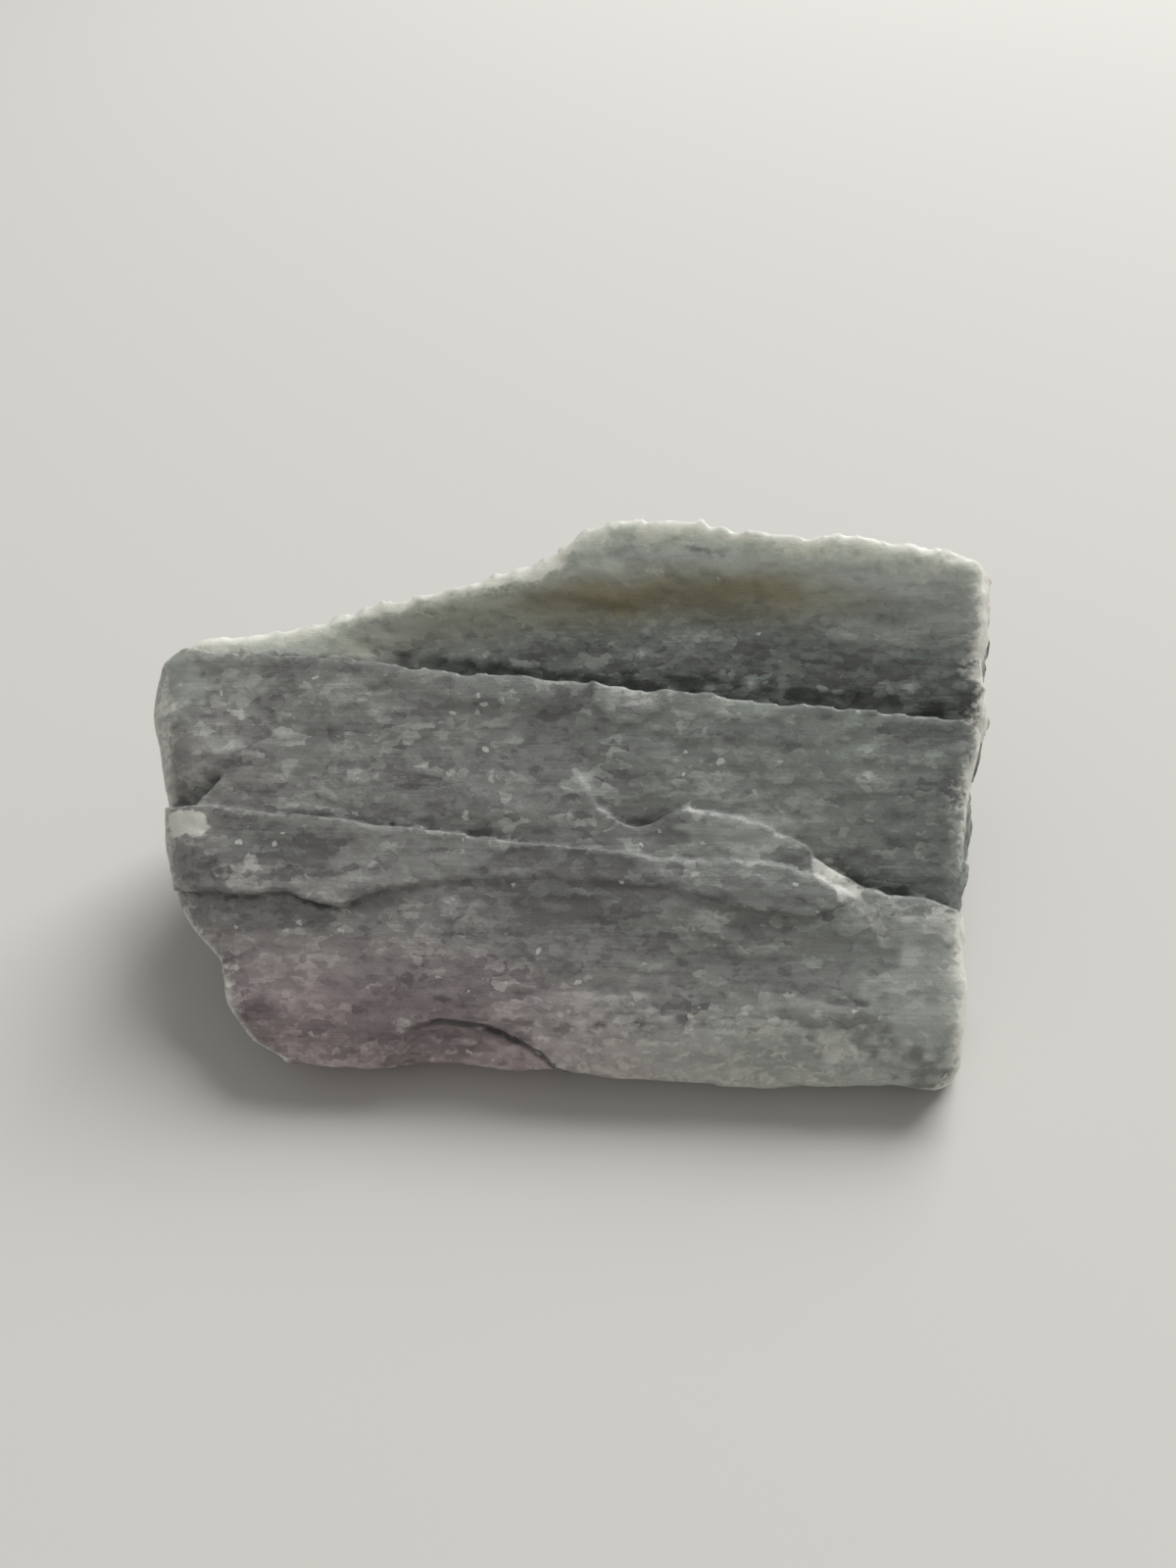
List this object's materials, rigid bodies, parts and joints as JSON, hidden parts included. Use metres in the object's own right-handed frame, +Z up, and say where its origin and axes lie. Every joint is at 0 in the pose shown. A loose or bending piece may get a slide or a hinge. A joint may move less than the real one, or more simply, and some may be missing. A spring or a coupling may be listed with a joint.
{
  "type": "raw aventurine",
  "caption": "Rough lump of pale green-grey aventurine quartzite, layered broad face rising from a low nose to a thin ragged rim.",
  "frame": {"origin": "middle of the stone's box, on the surface that it rests on", "axes": "+Z up; +X along the layers of the stone, its longest way; the broad layered face slopes up from -Y to +Y"},
  "size_m": [0.1194, 0.069, 0.0498],
  "materials": {
    "aventurine": "broken granular quartzite, waxy and slightly translucent at thin edges"
  },
  "bodies": {
    "root": {"raw_aventurine": "aventurine"}
  },
  "joints": []
}
